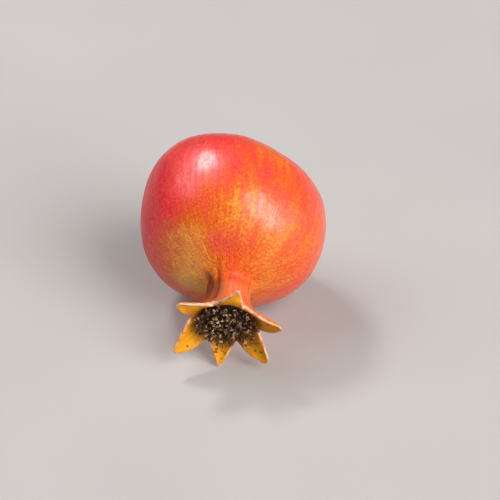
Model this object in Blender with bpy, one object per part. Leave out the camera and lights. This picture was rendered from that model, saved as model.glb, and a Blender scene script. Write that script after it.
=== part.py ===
"""A ripe pomegranate as picked, lying on its side on a table, at its real size in metres.

The rind, neck and crown of six sepals grew as one piece. A tuft of dried stamens fills the
crown's cup, and a short clipped stalk stands in the dimple at the other end.

Every piece is modelled in the fruit's growth frame: +Z runs from the stalk to the crown, the
origin is the middle of the body, and azimuths run from +X towards +Y. An empty then lays the
fruit down with its crown towards -Y, nodding onto a small flat spot.
"""

import math
import random
from typing import NamedTuple

import bmesh
import bpy
from mathutils import Matrix, Vector
from mathutils.bvhtree import BVHTree


class Sepal(NamedTuple):
    notch: float  # azimuth of the notch before it, degrees
    tip: float  # azimuth of its tip, degrees
    reach: float  # its tip's distance from the axis
    rise: float  # its tip's height above the ring
    blunt: float  # half width of the rounded tip
    hook: float  # how far the tip turns inwards, degrees
    fullness: float  # how far the sides swell past straight, as a share of the half width
    cupping: float  # how far the sides curl inwards, as a share of the half width


# The body, a superellipse turned round the axis
BODY_RADIUS = 0.0430
CROWN_HALF = 0.0368
STEM_HALF = 0.0358
SQUARENESS = 2.25
STEM_ROWS = 13
CROWN_ROWS = 10
SHOULDER_RADIUS = 0.0155

# The dimple that the stalk stands in
DIMPLE_DEPTH = 0.0024
DIMPLE_WIDTH = 0.0085

# Soft ridges that run to the sepals, as shares of the radius
RIDGE_ON_BODY = 0.006
RIDGE_ON_NECK = 0.030

# Wide swellings and flats of the grown body: azimuth, latitude and width in degrees, and the
# share of the radius. The first is the flat side that it grew against its branch.
SWELLINGS = (
    (41, -41, 42, -0.105),
    (207, 31, 26, 0.022),
    (143, -38, 30, 0.050),
    (324, 37, 24, 0.009),
)

# The neck, from the shoulder through its waist to the ring where the sepals part
WAIST_RADIUS = 0.0098
WAIST_HEIGHT = 0.0405
SHOULDER_HANDLE = 0.0052
SHOULDER_NUDGE = 0.0005
WAIST_HANDLE = 0.0042
FLARE_HANDLE = 0.0062
SHOULDER_STEPS = 5
FLARE_STEPS = 5
RING_RADIUS = 0.0146
RING_HEIGHT = 0.0560
RING_FLARE = math.radians(42)

# The cup inside the neck
CUP_FLOOR_RADIUS = 0.0072
CUP_FLOOR_HEIGHT = 0.0455
CUP_FLOOR_SAG = 0.0006
CUP_STEPS = 5

# The six sepals in azimuth order
SEPALS = (
    Sepal(-16, 15, 0.0252, 0.0068, 0.0019, 22, 0.16, 0.32),
    Sepal(55, 75, 0.0250, 0.0005, 0.0006, -5, 0.00, 0.12),
    Sepal(107, 137, 0.0260, 0.0042, 0.0019, 25, 0.16, 0.30),
    Sepal(163, 207, 0.0243, 0.0094, 0.0021, 25, 0.20, 0.26),
    Sepal(237, 262, 0.0215, 0.0087, 0.0006, -5, 0.04, 0.14),
    Sepal(287, 317, 0.0248, 0.0090, 0.0014, 5, 0.24, 0.18),
)
SEPAL_COLUMNS = 10
SEPAL_ROWS = (0.0, 0.09, 0.2, 0.32, 0.45, 0.58, 0.71, 0.83, 0.92, 1.0)
SEPAL_THICK_AT_RING = 0.0024
SEPAL_THICK_AT_TIP = 0.0011
SEPAL_THINNER_SIDES = 0.2
TIP_ROUNDNESS = 0.6
RIM_ROUNDING = 0.36
RIM_STARTS = 0.25

# The stamens: a low core that fills the cup, and filaments with an anther each
STAMENS = 96
STAMEN_SEED = 7
GOLDEN_ANGLE = math.radians(137.508)
BED_SHARE = 0.93  # how much of the core's top they stand on
CORE_CLEARANCE = 0.0005
CORE_TOP_RADIUS = 0.0112
CORE_TOP_HEIGHT = 0.0555
CORE_DOME = 0.0012
CORE_SIDES = 20
FILAMENT_RADIUS = 0.00034
FILAMENT_TAPER = 0.25
FILAMENT_SIDES = 3
FILAMENT_LENGTH = 0.0044
FILAMENT_SHORTEST = 0.75  # of the usual length
FILAMENT_LONGEST = 1.15
FILAMENT_ROOT = 0.0012
BOW_PLACE = 0.55  # where along its length a filament bows out
BOW = 0.0004
LEAN_AT_MIDDLE = 0.15
LEAN_AT_EDGE = 1.0
LEAN_SPREAD = 0.3
LEAN_STEP = 0.08
SWAY = 0.35  # how far filaments lean aside, in full where they also lean outwards
SWAY_WHEN_UPRIGHT = 0.3
ANTHER_LENGTH = 0.0019
ANTHER_WIDTH = 0.0014
ANTHER_DEPTH = 0.0011
ANTHER_LOWEST = -0.4  # how far anthers nod and rise, beside a sideways turn of up to 1
ANTHER_HIGHEST = 0.8
LEAST_GAP = 0.0004

# The clipped stalk
STALK_RADIUS = 0.0023
STALK_FOOT_RADIUS = 0.0031
STALK_LENGTH = 0.0052
STALK_CHAMFER = 0.0006
STALK_WAIST = 0.96  # its width and place, as shares of the stalk's radius and length
STALK_WAIST_PLACE = 0.55
STALK_FLARE = 1.08
STALK_FLARE_PLACE = 0.28
STALK_FOOT_PLACE = 0.08
STALK_FOOT_END = 0.94  # of the foot's radius, where it meets the rind
STALK_SIDES = 16
STALK_GAP = 0.0003

# How the fruit lies
CROWN_DROOP = math.radians(19)
FLAT_SPOT_DEPTH = 0.0008

CREASE_ANGLE = math.radians(50)
COLUMNS = len(SEPALS) * SEPAL_COLUMNS
UP = Vector((0.0, 0.0, 1.0))


def clear_scene():
    for thing in list(bpy.data.objects):
        bpy.data.objects.remove(thing, do_unlink=True)


def plain_material(name, colour, roughness):
    material = bpy.data.materials.new(name)
    material.use_nodes = True
    shader = material.node_tree.nodes["Principled BSDF"]
    shader.inputs["Base Color"].default_value = (*colour, 1.0)
    shader.inputs["Roughness"].default_value = roughness
    shader.inputs["Metallic"].default_value = 0.0
    return material


def add_object(name, mesh, material=None):
    """An object from a bmesh, which is freed."""
    data = bpy.data.meshes.new(name)
    mesh.to_mesh(data)
    mesh.free()
    if material:
        data.materials.append(material)
        data.shade_smooth()
        data.set_sharp_from_angle(angle=CREASE_ANGLE)
    return bpy.data.objects.new(name, data)


def face_outwards(mesh):
    bmesh.ops.recalc_face_normals(mesh, faces=mesh.faces)
    if mesh.calc_volume(signed=True) < 0:
        bmesh.ops.reverse_faces(mesh, faces=mesh.faces)


def mix(a, b, share):
    return a + (b - a) * share


def ease(share):
    share = min(1.0, max(0.0, share))
    return share * share * (3 - 2 * share)


def bezier(points, share):
    """A point on the cubic curve through four control points."""
    a, b, c, d = points
    rest = 1 - share
    return a * rest**3 + b * 3 * rest**2 * share + c * 3 * rest * share**2 + d * share**3


def around(radius, azimuth, height):
    return Vector((radius * math.cos(azimuth), radius * math.sin(azimuth), height))


def sepal_span(index):
    """The azimuths of the notches on both sides of a sepal, in radians."""
    first = SEPALS[index].notch
    last = SEPALS[(index + 1) % len(SEPALS)].notch
    if last < first:
        last += 360
    return math.radians(first), math.radians(last)


def column_azimuth(column):
    """A column's azimuth, and its place across its sepal from -1 to 1."""
    index, step = divmod(column, SEPAL_COLUMNS)
    first, last = sepal_span(index)
    across = step / SEPAL_COLUMNS
    return mix(first, last, across), 2 * across - 1


def ridge(across):
    """1 on a sepal's middle line and -1 at a notch."""
    return math.cos(math.pi * across)


def body_height(radius):
    """How high the crown's side of the body is at a radius."""
    return CROWN_HALF * (1 - (radius / BODY_RADIUS) ** SQUARENESS) ** (1 / SQUARENESS)


def dimple(radius):
    return DIMPLE_DEPTH * math.exp(-((radius / DIMPLE_WIDTH) ** 2))


def body_meridian():
    """(radius, height) from next to the stem pole, over the belly, to the shoulder."""
    power = 2 / SQUARENESS
    points = []
    for row in range(1, STEM_ROWS):
        angle = math.pi / 2 * (1 - row / STEM_ROWS)
        radius = BODY_RADIUS * math.cos(angle) ** power
        points.append((radius, dimple(radius) - STEM_HALF * math.sin(angle) ** power))
    shoulder = math.acos((SHOULDER_RADIUS / BODY_RADIUS) ** (SQUARENESS / 2))
    for row in range(CROWN_ROWS + 1):
        angle = shoulder * row / CROWN_ROWS
        points.append((BODY_RADIUS * math.cos(angle) ** power, CROWN_HALF * math.sin(angle) ** power))
    return points


def ring_side(outwards):
    """(radius, height) of the ring's outer or inner edge, half a thickness from its middle."""
    half = SEPAL_THICK_AT_RING / 2 * outwards
    return Vector((RING_RADIUS + half * math.cos(RING_FLARE), RING_HEIGHT - half * math.sin(RING_FLARE)))


def neck_meridian():
    """(radius, height) from after the shoulder, through the waist, to just below the ring."""
    start = Vector((SHOULDER_RADIUS, body_height(SHOULDER_RADIUS)))
    inward = Vector((-SHOULDER_NUDGE, body_height(SHOULDER_RADIUS - SHOULDER_NUDGE) - start.y)).normalized()
    waist = Vector((WAIST_RADIUS, WAIST_HEIGHT))
    up = Vector((0.0, 1.0))
    out = Vector((math.sin(RING_FLARE), math.cos(RING_FLARE)))
    ring = ring_side(1)
    fillet = (start, start + inward * SHOULDER_HANDLE, waist - up * WAIST_HANDLE, waist)
    flare = (waist, waist + up * FLARE_HANDLE, ring - out * FLARE_HANDLE, ring)
    points = [bezier(fillet, step / SHOULDER_STEPS) for step in range(1, SHOULDER_STEPS + 1)]
    points += [bezier(flare, step / FLARE_STEPS) for step in range(1, FLARE_STEPS)]
    return [(point.x, point.y) for point in points]


def cup_meridian():
    """(radius, height) from just inside the ring down to the cup's floor."""
    ring = ring_side(-1)
    floor = Vector((CUP_FLOOR_RADIUS, CUP_FLOOR_HEIGHT))
    out = Vector((math.sin(RING_FLARE), math.cos(RING_FLARE)))
    handle = FLARE_HANDLE / 2
    wall = (ring, ring - out * handle, floor + Vector((0.0, handle)), floor)
    points = [bezier(wall, step / CUP_STEPS) for step in range(1, CUP_STEPS + 1)]
    return [(point.x, point.y) for point in points]


def swelling(way):
    """How much the body swells along a direction from its middle, as a share of the radius."""
    total = 0.0
    for azimuth, latitude, width, amount in SWELLINGS:
        latitude = math.radians(latitude)
        middle = around(math.cos(latitude), math.radians(azimuth), math.sin(latitude))
        total += amount * math.exp(-((math.degrees(way.angle(middle)) / width) ** 2))
    return total


def rind_point(radius, azimuth, across, height):
    """A point of the rind, with its ridges and its swellings, which fade out along the neck."""
    shoulder = body_height(SHOULDER_RADIUS)
    ridges = mix(
        RIDGE_ON_BODY * radius / BODY_RADIUS,
        RIDGE_ON_NECK,
        ease((height - shoulder) / (RING_HEIGHT - shoulder)),
    )
    point = around(radius * (1 + ridges * ridge(across)), azimuth, height)
    on_body = 1 - ease((height - shoulder) / (WAIST_HEIGHT - shoulder))
    return point * (1 + swelling(point) * on_body) if on_body else point


def add_rows(mesh, meridian):
    """One closed row of the rind's vertices for each point of a meridian."""
    rows = []
    for radius, height in meridian:
        row = []
        for column in range(COLUMNS):
            azimuth, across = column_azimuth(column)
            row.append(mesh.verts.new(rind_point(radius, azimuth, across, height)))
        rows.append(row)
    return rows


def join_rows(mesh, lower, upper):
    """A band of quads between two closed rows of as many vertices."""
    for here in range(len(lower)):
        after = (here + 1) % len(lower)
        mesh.faces.new((lower[here], lower[after], upper[after], upper[here]))


def close_row(mesh, row, place):
    """A fan of triangles from a row to a point."""
    pole = mesh.verts.new(place)
    for here in range(len(row)):
        mesh.faces.new((row[here], row[(here + 1) % len(row)], pole))


def ring_middle(azimuth, across):
    return around(RING_RADIUS * (1 + RIDGE_ON_NECK * ridge(across)), azimuth, RING_HEIGHT)


def ring_rows(mesh):
    """The ring where the sepals part: its outer and inner row, and the middle of each notch."""
    outer, inner, notches = [], [], {}
    for column in range(COLUMNS):
        azimuth, across = column_azimuth(column)
        middle = ring_middle(azimuth, across)
        inward = around(-math.cos(RING_FLARE), azimuth, math.sin(RING_FLARE)) * SEPAL_THICK_AT_RING / 2
        outer.append(mesh.verts.new(middle - inward))
        inner.append(mesh.verts.new(middle + inward))
        if column % SEPAL_COLUMNS == 0:
            notches[column] = mesh.verts.new(middle)
    return outer, inner, notches


def sepal_sheet(index):
    """A sepal's middle sheet, sheet[row][column]. Each column curves from the ring to the tip."""
    sepal = SEPALS[index]
    first, last = sepal_span(index)
    middle = (first + last) / 2
    base = ring_middle(middle, 0.0)
    tip = around(sepal.reach, math.radians(sepal.tip), RING_HEIGHT + sepal.rise)
    way = (tip - base).normalized()
    side = Vector((-math.sin(middle), math.cos(middle), 0.0))
    side = (side - way * side.dot(way)).normalized()
    inward = way.cross(side)
    back = Matrix.Rotation(-math.radians(sepal.hook), 3, side) @ -way
    half_width = RING_RADIUS * math.sin((last - first) / 2)
    curves = []
    for column in range(SEPAL_COLUMNS + 1):
        across = 2 * column / SEPAL_COLUMNS - 1
        azimuth = mix(first, last, column / SEPAL_COLUMNS)
        root = ring_middle(azimuth, across)
        end = tip + (side * across - way * (1 - math.sqrt(1 - TIP_ROUNDNESS * across**2))) * sepal.blunt
        straight = (end - root).normalized()
        handle = (end - root).length / 3
        flare = around(math.sin(RING_FLARE), azimuth, math.cos(RING_FLARE))
        leave = flare.lerp(straight, across**2)
        arrive = back.lerp(-straight, across**2)
        swell = side * across * sepal.fullness + inward * across**2 * sepal.cupping
        curves.append((root, root + leave * handle, end + arrive * handle + swell * half_width, end))
    return [[bezier(curve, along) for curve in curves] for along in SEPAL_ROWS]


def sheet_inward(sheet, row, column):
    """The way the sepal's inner face looks, from its neighbours in the middle sheet."""
    below = sheet[row - 1][column]
    above = sheet[min(row + 1, len(sheet) - 1)][column]
    left = sheet[row][max(column - 1, 0)]
    right = sheet[row][min(column + 1, SEPAL_COLUMNS)]
    return (above - below).cross(right - left).normalized()


def sepal_thickness(along, across):
    thick = mix(SEPAL_THICK_AT_RING, SEPAL_THICK_AT_TIP, along**1.5)
    return thick * (1 - SEPAL_THINNER_SIDES * across**2 * ease(along / RIM_STARTS))


def sepal_rim(mesh, sheet):
    """Vertices just outside the sheet's free edge, up one side, round the tip and down the other."""
    top = len(sheet) - 1
    edge = [(row, 0) for row in range(1, top)]
    edge += [(top, column) for column in range(SEPAL_COLUMNS + 1)]
    edge += [(row, SEPAL_COLUMNS) for row in range(top - 1, 0, -1)]
    places = [sheet[row][column] for row, column in [(0, 0), *edge, (0, SEPAL_COLUMNS)]]
    rim = {}
    for (row, column), before, place, after in zip(edge, places, places[1:], places[2:]):
        away = (after - before).cross(sheet_inward(sheet, row, column)).normalized()
        thick = sepal_thickness(SEPAL_ROWS[row], 2 * column / SEPAL_COLUMNS - 1)
        rounding = thick * RIM_ROUNDING * ease(SEPAL_ROWS[row] / RIM_STARTS)
        rim[row, column] = mesh.verts.new(place + away * rounding)
    return rim


def add_sepal(mesh, index, outer, inner, notches):
    """A sepal on its stretch of the ring: its two faces, and the rounded rim that joins them."""
    sheet = sepal_sheet(index)
    top = len(sheet) - 1
    columns = [(index * SEPAL_COLUMNS + step) % COLUMNS for step in range(SEPAL_COLUMNS + 1)]
    outside = [[outer[column] for column in columns]]
    inside = [[inner[column] for column in columns]]
    rim = sepal_rim(mesh, sheet)
    rim[0, 0], rim[0, SEPAL_COLUMNS] = notches[columns[0]], notches[columns[-1]]
    for row in range(1, len(sheet)):
        halves = [
            sheet_inward(sheet, row, column)
            * (sepal_thickness(SEPAL_ROWS[row], 2 * column / SEPAL_COLUMNS - 1) / 2)
            for column in range(SEPAL_COLUMNS + 1)
        ]
        outside.append([mesh.verts.new(point - half) for point, half in zip(sheet[row], halves)])
        inside.append([mesh.verts.new(point + half) for point, half in zip(sheet[row], halves)])
    for face in (outside, inside):
        tip = [rim[top, column] for column in range(SEPAL_COLUMNS + 1)]
        for lower, upper in zip(face, face[1:] + [tip]):
            for here in range(SEPAL_COLUMNS):
                mesh.faces.new((lower[here], lower[here + 1], upper[here + 1], upper[here]))
        for row in range(top):
            for column in (0, SEPAL_COLUMNS):
                corners = rim[row, column], rim[row + 1, column], face[row + 1][column], face[row][column]
                mesh.faces.new(corners)


def press_flat_spot(mesh):
    """Cuts the body flat where it rests. Returns how far the flat is below the body's middle."""
    up = Vector((0.0, math.cos(CROWN_DROOP), -math.sin(CROWN_DROOP)))
    floor = min(vertex.co.dot(up) for vertex in mesh.verts) + FLAT_SPOT_DEPTH
    everything = mesh.verts[:] + mesh.edges[:] + mesh.faces[:]
    bmesh.ops.bisect_plane(
        mesh, geom=everything, plane_co=up * floor, plane_no=-up, clear_outer=True, dist=1e-6
    )
    bmesh.ops.contextual_create(mesh, geom=[edge for edge in mesh.edges if edge.is_boundary])
    return -floor


def build_fruit(material):
    """The rind with its neck and crown, one solid, and how far its flat is below its middle."""
    mesh = bmesh.new()
    rows = add_rows(mesh, body_meridian() + neck_meridian())
    outer, inner, notches = ring_rows(mesh)
    cup = add_rows(mesh, cup_meridian())
    for lower, upper in zip(rows, rows[1:] + [outer]):
        join_rows(mesh, lower, upper)
    for lower, upper in zip([inner] + cup, cup):
        join_rows(mesh, lower, upper)
    for index in range(len(SEPALS)):
        add_sepal(mesh, index, outer, inner, notches)
    close_row(mesh, rows[0], rind_point(0.0, 0.0, 0.0, dimple(0.0) - STEM_HALF))
    close_row(mesh, cup[-1], UP * (CUP_FLOOR_HEIGHT - CUP_FLOOR_SAG))
    depth = press_flat_spot(mesh)
    face_outwards(mesh)
    return add_object("fruit", mesh, material), depth


def turned_solid(outline, sides):
    """A solid of revolution from (radius, height) pairs that start and end on the axis."""
    mesh = bmesh.new()
    rows = []
    for radius, height in outline[1:-1]:
        rows.append([mesh.verts.new(around(radius, 2 * math.pi * k / sides, height)) for k in range(sides)])
    for lower, upper in zip(rows, rows[1:]):
        join_rows(mesh, lower, upper)
    close_row(mesh, rows[0], UP * outline[0][1])
    close_row(mesh, rows[-1], UP * outline[-1][1])
    face_outwards(mesh)
    return mesh


def stamen_core(material):
    """The packed filaments low in the cup, as one dark plug that the stamens stand out of."""
    outline = [(0.0, CUP_FLOOR_HEIGHT + CORE_CLEARANCE)]
    for radius, height in reversed(cup_meridian()[1:]):
        if height < CORE_TOP_HEIGHT - CORE_CLEARANCE * 2:
            outline.append((radius * (1 - RIDGE_ON_NECK) - CORE_CLEARANCE, height + CORE_CLEARANCE))
    outline.append((CORE_TOP_RADIUS, CORE_TOP_HEIGHT))
    outline.append((CORE_TOP_RADIUS / 2, CORE_TOP_HEIGHT + CORE_DOME))
    outline.append((0.0, CORE_TOP_HEIGHT + CORE_DOME))
    return add_object("stamens", turned_solid(outline, CORE_SIDES), material)


def filament(path):
    """A tapering tube of a few sides along a path."""
    mesh = bmesh.new()
    rows = []
    for index, point in enumerate(path):
        before, after = path[max(index - 1, 0)], path[min(index + 1, len(path) - 1)]
        turn = UP.rotation_difference(after - before)
        thin = FILAMENT_RADIUS * (1 - FILAMENT_TAPER * index / (len(path) - 1))
        corners = [around(thin, 2 * math.pi * k / FILAMENT_SIDES, 0.0) for k in range(FILAMENT_SIDES)]
        rows.append([mesh.verts.new(point + turn @ corner) for corner in corners])
    for lower, upper in zip(rows, rows[1:]):
        join_rows(mesh, lower, upper)
    mesh.faces.new(rows[0])
    mesh.faces.new(rows[-1])
    face_outwards(mesh)
    return add_object("filament", mesh)


def anther(centre, facing):
    """A small bean of 20 faces."""
    turn = UP.rotation_difference(facing).to_matrix().to_4x4()
    size = Matrix.Diagonal((ANTHER_WIDTH / 2, ANTHER_DEPTH / 2, ANTHER_LENGTH / 2, 1.0))
    mesh = bmesh.new()
    place = Matrix.Translation(centre) @ turn @ size
    bmesh.ops.create_icosphere(mesh, subdivisions=1, radius=1.0, matrix=place)
    return add_object("anther", mesh)


def clear_of_rind(rind, path):
    """Whether a filament, outside the core, and its anther keep their gap from the rind."""
    gaps = [rind.find_nearest(point)[3] for point in path[1:]]
    return min(gaps) > LEAST_GAP + FILAMENT_RADIUS and gaps[-1] > LEAST_GAP + ANTHER_LENGTH / 2


def stamen_path(rind, share, azimuth, draw):
    """Four points from inside the core to the anther, leaning outwards as far as the rind lets it."""
    root = around(CORE_TOP_RADIUS * BED_SHARE * math.sqrt(share), azimuth, CORE_TOP_HEIGHT)
    root += UP * CORE_DOME / 2 * (1 - share)
    spread = mix(LEAN_AT_MIDDLE, LEAN_AT_EDGE, share) + draw.uniform(-LEAN_SPREAD, LEAN_SPREAD)
    sway = Vector((draw.uniform(-SWAY, SWAY), draw.uniform(-SWAY, SWAY), 0.0))
    bow = Vector((draw.uniform(-BOW, BOW), draw.uniform(-BOW, BOW), 0.0))
    length = FILAMENT_LENGTH * draw.uniform(FILAMENT_SHORTEST, FILAMENT_LONGEST)
    while True:
        aside = sway * min(1.0, abs(spread) + SWAY_WHEN_UPRIGHT)
        way = (around(spread, azimuth, 1.0) + aside).normalized()
        end = root + way * length
        path = [root - way * FILAMENT_ROOT, root, root.lerp(end, BOW_PLACE) + bow, end]
        if clear_of_rind(rind, path):
            return path
        spread -= LEAN_STEP


def build_stamens(fruit, material):
    """The tuft: stamens spread over the core by the golden angle, each bent clear of the rind."""
    draw = random.Random(STAMEN_SEED)
    rind = BVHTree.FromObject(fruit, bpy.context.evaluated_depsgraph_get())
    core = stamen_core(material)
    bpy.context.scene.collection.objects.link(core)
    group = bpy.data.collections.new("stamens_to_join")
    bpy.context.scene.collection.children.link(group)
    for index in range(STAMENS):
        path = stamen_path(rind, (index + 0.5) / STAMENS, index * GOLDEN_ANGLE, draw)
        facing = Vector(
            (draw.uniform(-1, 1), draw.uniform(-1, 1), draw.uniform(ANTHER_LOWEST, ANTHER_HIGHEST))
        )
        group.objects.link(filament(path))
        group.objects.link(anther(path[-1], facing))
    join_collection(core, group)
    return core


def join_collection(body, group):
    """One union of everything in the collection with the body, then the collection's objects go."""
    joint = body.modifiers.new("join", "BOOLEAN")
    joint.operation = "UNION"
    joint.operand_type = "COLLECTION"
    joint.collection = group
    joint.solver = "EXACT"
    bpy.context.view_layer.objects.active = body
    bpy.ops.object.modifier_apply(modifier=joint.name)
    for thing in list(group.objects):
        bpy.data.objects.remove(thing, do_unlink=True)
    bpy.data.collections.remove(group)


def build_stalk(material):
    """The clipped stalk, modelled from its foot down: a flared foot, a waist and a chamfered cut."""
    outline = [
        (0.0, -STALK_LENGTH),
        (STALK_RADIUS - STALK_CHAMFER, -STALK_LENGTH),
        (STALK_RADIUS, -STALK_LENGTH + STALK_CHAMFER),
        (STALK_RADIUS * STALK_WAIST, -STALK_LENGTH * STALK_WAIST_PLACE),
        (STALK_RADIUS * STALK_FLARE, -STALK_LENGTH * STALK_FLARE_PLACE),
        (STALK_FOOT_RADIUS, -STALK_LENGTH * STALK_FOOT_PLACE),
        (STALK_FOOT_RADIUS * STALK_FOOT_END, 0.0),
        (0.0, 0.0),
    ]
    stalk = add_object("stalk", turned_solid(outline, STALK_SIDES), material)
    foot_height = dimple(STALK_FOOT_RADIUS) - STEM_HALF
    edge = [rind_point(STALK_FOOT_RADIUS, *column_azimuth(k), foot_height).z for k in range(COLUMNS)]
    stalk.location.z = min(edge) - STALK_GAP
    return stalk


def lay_down(pieces, depth):
    """Hangs the pieces from an empty that turns the crown towards -Y and centres the box."""
    rest = bpy.data.objects.new("lying", None)
    bpy.context.scene.collection.objects.link(rest)
    rest.rotation_euler.x = math.pi / 2 + CROWN_DROOP
    for piece in pieces:
        piece.parent = rest
    bpy.context.view_layer.update()
    places = [piece.matrix_world @ vertex.co for piece in pieces for vertex in piece.data.vertices]
    rest.location.x = -(min(place.x for place in places) + max(place.x for place in places)) / 2
    rest.location.y = -(min(place.y for place in places) + max(place.y for place in places)) / 2
    rest.location.z = depth


def main():
    clear_scene()
    fruit, depth = build_fruit(plain_material("rind", (0.78, 0.17, 0.06), 0.42))
    bpy.context.scene.collection.objects.link(fruit)
    stamens = build_stamens(fruit, plain_material("dried_stamens", (0.10, 0.055, 0.03), 0.85))
    stalk = build_stalk(plain_material("stalk_wood", (0.24, 0.17, 0.10), 0.85))
    bpy.context.scene.collection.objects.link(stalk)
    lay_down([fruit, stamens, stalk], depth)


main()
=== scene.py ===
# %% [markdown]
# # A pomegranate, as picked
# The fruit lies on its side with its crown towards us. Its solids come from the imported model, and this
# script gives them their looks: a fine rind with its colours, the tuft of dried stamens in the crown, and
# the woody stub of the stalk. The imported model is the fixed frame, so it is loaded first.

# %% Load the fixed frame
import math
import random

import bpy
import numpy as np
from mathutils import Matrix, Vector
from mathutils.bvhtree import BVHTree
from mathutils.kdtree import KDTree


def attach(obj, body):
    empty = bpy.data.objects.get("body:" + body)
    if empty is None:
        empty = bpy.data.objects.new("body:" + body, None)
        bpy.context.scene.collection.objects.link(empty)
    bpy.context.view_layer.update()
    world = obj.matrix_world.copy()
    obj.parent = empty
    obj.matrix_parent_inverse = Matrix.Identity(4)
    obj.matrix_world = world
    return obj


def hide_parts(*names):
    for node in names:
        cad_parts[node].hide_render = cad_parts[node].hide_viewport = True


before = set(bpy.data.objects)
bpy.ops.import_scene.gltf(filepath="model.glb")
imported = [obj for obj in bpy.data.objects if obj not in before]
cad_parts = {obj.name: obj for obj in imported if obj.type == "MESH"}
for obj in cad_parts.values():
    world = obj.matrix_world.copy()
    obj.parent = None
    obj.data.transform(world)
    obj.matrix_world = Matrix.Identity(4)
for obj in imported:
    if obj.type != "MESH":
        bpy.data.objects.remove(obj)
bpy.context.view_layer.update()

# %% [markdown]
# A fruit is easiest to describe in the frame that it grew in: the middle of the body, the axis
# from stalk to crown, and directions round that axis. The lying fruit has that frame turned over
# and tipped a little, so one matrix takes growth coordinates to the scene, and its inverse back.

# %% The growth frame
BODY_MIDDLE = Vector((0.0005, 0.0130, 0.0424))
CROWN_DROOP = math.radians(19)
RING_RADIUS = 0.0146
RING_HEIGHT = 0.0560

growth_turn = (math.pi / 2 + CROWN_DROOP, 0.0, 0.0)
to_scene = Matrix.Translation(BODY_MIDDLE) @ Matrix.Rotation(growth_turn[0], 4, "X")
to_growth = to_scene.inverted()


def around(radius, azimuth, height):
    """A point of the growth frame from its distance to the axis, its azimuth and its height."""
    return Vector((radius * math.cos(azimuth), radius * math.sin(azimuth), height))


def direction(azimuth, latitude):
    """A unit direction of the growth frame, from degrees."""
    azimuth, latitude = math.radians(azimuth), math.radians(latitude)
    return around(math.cos(latitude), azimuth, math.sin(latitude))


print("crown points along", tuple(round(part, 3) for part in to_scene.to_3x3() @ Vector((0, 0, 1))))

# %% [markdown]
# A long lens from in front and above shows the fruit as a portrait does. The camera is placed by
# the point that it looks at, two angles and a distance, which are easier to tune than a free
# position and rotation.

# %% Camera
CAMERA_TARGET = Vector((0.0085, -0.0006, 0.0354))
CAMERA_AZIMUTH = math.radians(3.8)
CAMERA_ELEVATION = math.radians(34)
CAMERA_DISTANCE = 0.623
LENS_MM = 100
SENSOR_MM = 36


def back_from(azimuth, elevation):
    """The direction from a target to a camera or light at these angles. Azimuth 0 is the front."""
    flat = math.cos(elevation)
    return Vector((math.sin(azimuth) * flat, -math.cos(azimuth) * flat, math.sin(elevation)))


def aim(thing, target, back):
    """Places a camera or light at target + back, looking at the target."""
    thing.location = target + back
    thing.rotation_mode = "QUATERNION"
    thing.rotation_quaternion = (-back).to_track_quat("-Z", "Y")


bpy.ops.object.camera_add()
camera = bpy.context.object
camera.name = "camera"
camera.data.lens = LENS_MM
camera.data.sensor_width = SENSOR_MM
camera.data.clip_start = 0.01
aim(camera, CAMERA_TARGET, back_from(CAMERA_AZIMUTH, CAMERA_ELEVATION) * CAMERA_DISTANCE)
bpy.context.scene.camera = camera
print("camera at", tuple(round(part, 3) for part in camera.location))

# %% [markdown]
# The studio is a pale floor and a pale surround with five area lights. On a glossy round fruit
# each light shows as its own reflection, so size and place are chosen for their highlights. A
# tall bright light in the middle of a wide weak one, from the front right, lays a sheen on the
# belly that fades at its edge, and a weak low one further right carries it on. A small bright one
# from behind on the left, like the sun, makes the sharp spot near the top, and a soft one above
# on the left opens the shadows there.

# %% Floor and lights
FLOOR_SIZE = 12.0
LIGHT_COLOUR = (1.0, 0.97, 0.98)
SURROUND_COLOUR = (0.95, 0.93, 0.89, 1)
SURROUND_STRENGTH = 0.14
LIGHTS = (
    # name, azimuth and elevation in degrees, distance, width, height, power in watts
    ("broad_core", 49, 30, 3.60, 2.50, 4.10, 174),
    ("broad_halo", 46, 31, 3.60, 5.60, 5.60, 56),
    ("right_low", 76, 6, 2.70, 2.40, 2.40, 13),
    ("sun", -137, 54, 1.80, 0.46, 0.30, 12),
    ("upper_left", -96, 50, 2.70, 2.10, 2.10, 28),
)

bpy.ops.mesh.primitive_plane_add(size=FLOOR_SIZE)
floor = bpy.context.object
floor.name = "floor"
for name, azimuth, elevation, distance, width, height, power in LIGHTS:
    bpy.ops.object.light_add(type="AREA")
    light = bpy.context.object
    light.name = name
    light.data.shape = "ELLIPSE"
    light.data.size = width
    light.data.size_y = height
    light.data.energy = power
    light.data.color = LIGHT_COLOUR
    aim(light, BODY_MIDDLE, back_from(math.radians(azimuth), math.radians(elevation)) * distance)
world = bpy.data.worlds.new("studio")
world.use_nodes = True
surround = world.node_tree.nodes["Background"]
surround.inputs["Color"].default_value = SURROUND_COLOUR
surround.inputs["Strength"].default_value = SURROUND_STRENGTH
bpy.context.scene.world = world
bpy.context.scene.view_settings.view_transform = "Standard"
print("lights:", [light[0] for light in LIGHTS])

# %% [markdown]
# Materials are built from nodes. A few small helpers keep that readable: most add a node and hand
# back the socket with its result, so that a pattern reads like a formula.

# %% Node helpers


def add_node(tree, kind, inputs=None, **settings):
    """Adds a node. An input may be a plain value or the socket that feeds it."""
    made = tree.nodes.new(kind)
    for name, value in settings.items():
        setattr(made, name, value)
    for key, value in (inputs or {}).items():
        if isinstance(value, bpy.types.NodeSocket):
            tree.links.new(value, made.inputs[key])
        else:
            made.inputs[key].default_value = value
    return made


def calculate(tree, operation, *values):
    return add_node(tree, "ShaderNodeMath", dict(enumerate(values)), operation=operation).outputs[0]


def product(tree, first, *others):
    """Two or more values multiplied."""
    for other in others:
        first = calculate(tree, "MULTIPLY", first, other)
    return first


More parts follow.
